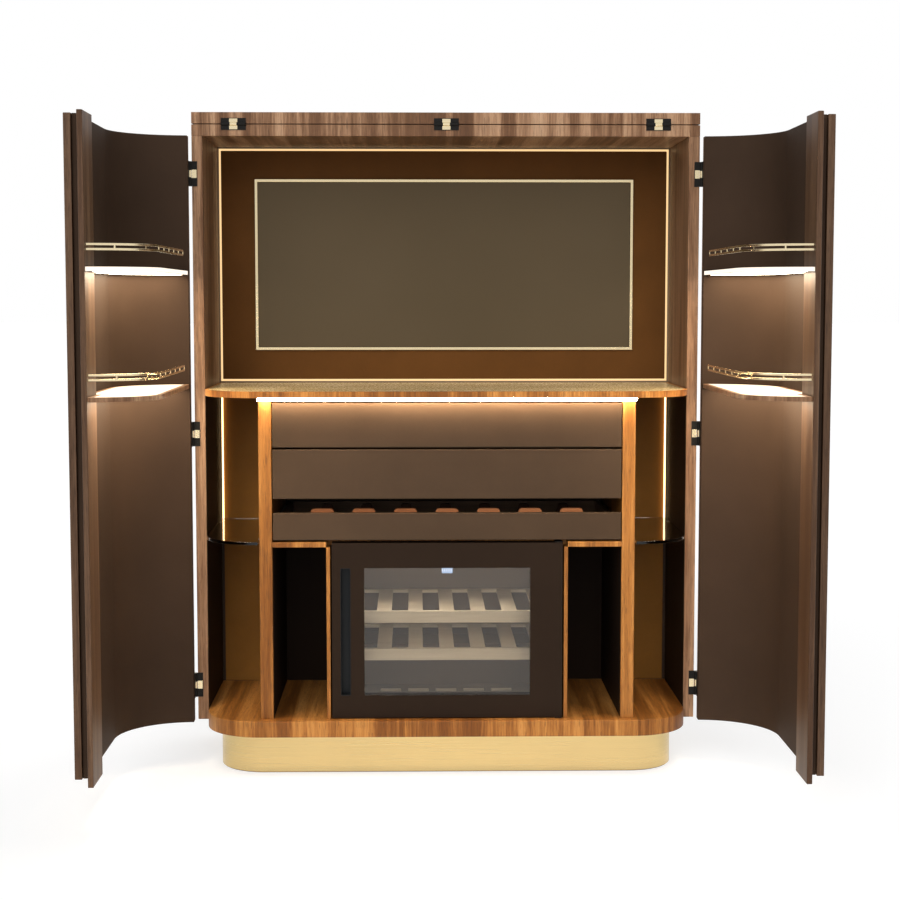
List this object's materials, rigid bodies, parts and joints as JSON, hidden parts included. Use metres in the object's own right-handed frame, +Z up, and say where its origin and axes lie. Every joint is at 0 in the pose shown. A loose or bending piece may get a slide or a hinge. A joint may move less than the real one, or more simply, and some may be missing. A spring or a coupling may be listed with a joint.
{
  "type": "bar armoire",
  "caption": "Round-fronted bar armoire with wrap-round doors, fold-back lid, counter, drawers, bottle rack and built-in wine cooler, shown open.",
  "frame": {"origin": "on the floor, midway between the two door hinges, in the plane of the side panels' front edges", "axes": "+X to the right seen from the front, +Y to the back, +Z up"},
  "size_m": [1.738, 1.0315, 1.7044],
  "materials": {
    "walnut": "satin open-grain walnut veneer",
    "hide": "dark brown matt leather facing",
    "brass": "brushed and lacquered",
    "stone": "honed veined stone, opaque",
    "bronze_mirror": "bronze-tinted mirror",
    "light": "opal light diffuser",
    "clear_glass": "clear float glass",
    "steel": "zinc-plated",
    "black_metal": "black, satin",
    "cooler_black": "dark brown satin",
    "cooler_grey": "grey moulded liner",
    "smoked_glass": "lightly smoked insulating glass",
    "beech": "pale oiled beech",
    "rubber": "soft black",
    "screen": "lit panel",
    "inner_wood": "dark stained"
  },
  "bodies": {
    "case": {"back_lining": "hide", "back_panel": "walnut", "base_board": "walnut", "case_hinge_leaves": "black_metal", "case_led_strips": "light", "cooler_compressor": "black_metal", "cooler_housing": "cooler_grey", "cooler_pivots": "black_metal", "cooler_shelves": "beech", "cooler_side_panels": "walnut", "counter_board": "walnut", "counter_stone": "stone", "dividers": "walnut", "drawer_deck": "walnut", "drawer_runners_fixed": "steel", "glass_shelves": "clear_glass", "hinge_pins": "brass", "mirror": "bronze_mirror", "mirror_frame": "brass", "plinth_core": "inner_wood", "plinth_skin": "brass", "shelf_pegs": "steel", "side_left": "walnut", "side_right": "walnut", "top_board": "walnut"},
    "cooler_door": {"cooler_display": "screen", "cooler_door_frame": "cooler_black", "cooler_door_glass": "smoked_glass", "cooler_gasket": "rubber", "cooler_grip": "cooler_black"},
    "left_door": {"left_door_gallery_rails": "brass", "left_door_hinge_leaves": "black_metal", "left_door_lining": "hide", "left_door_shelf_lights": "light", "left_door_shelf_lower": "walnut", "left_door_shelf_upper": "walnut", "left_door_shell": "walnut", "left_door_stile": "walnut", "left_door_under_lights": "light"},
    "lid": {"lid_board": "walnut", "lid_hinge_leaves": "black_metal"},
    "lower_drawer": {"lower_drawer_box": "inner_wood", "lower_drawer_front": "hide", "lower_drawer_runners": "steel"},
    "rack_drawer": {"rack_cradles": "inner_wood", "rack_drawer_box": "inner_wood", "rack_drawer_front": "hide", "rack_drawer_runners": "steel"},
    "right_door": {"right_door_gallery_rails": "brass", "right_door_hinge_leaves": "black_metal", "right_door_lining": "hide", "right_door_shelf_lights": "light", "right_door_shelf_lower": "walnut", "right_door_shelf_upper": "walnut", "right_door_shell": "walnut", "right_door_stile": "walnut", "right_door_under_lights": "light"},
    "upper_drawer": {"upper_drawer_box": "inner_wood", "upper_drawer_front": "hide", "upper_drawer_runners": "steel"}
  },
  "joints": [
    {"name": "left_door_hinge", "type": "hinge", "parent": "case", "child": "left_door", "pos_m": [-0.661, -0.002, 0.875], "axis": [0, 0, 1], "range_deg": [0, 90]},
    {"name": "right_door_hinge", "type": "hinge", "parent": "case", "child": "right_door", "pos_m": [0.661, -0.002, 0.875], "axis": [0, 0, -1], "range_deg": [0, 90]},
    {"name": "lid_hinge", "type": "hinge", "parent": "case", "child": "lid", "pos_m": [0, -0.002, 1.6742], "axis": [1, 0, 0], "range_deg": [0, 180]},
    {"name": "upper_drawer_slide", "type": "slide", "parent": "case", "child": "upper_drawer", "axis": [0, 1, 0], "range_m": [-0.3, 0]},
    {"name": "lower_drawer_slide", "type": "slide", "parent": "case", "child": "lower_drawer", "axis": [0, 1, 0], "range_m": [-0.3, 0]},
    {"name": "rack_drawer_slide", "type": "slide", "parent": "case", "child": "rack_drawer", "axis": [0, 1, 0], "range_m": [-0.3, 0]},
    {"name": "cooler_door_hinge", "type": "hinge", "parent": "case", "child": "cooler_door", "pos_m": [0.289, -0.116, 0.38], "axis": [0, 0, -1], "range_deg": [-100, 0]}
  ]
}
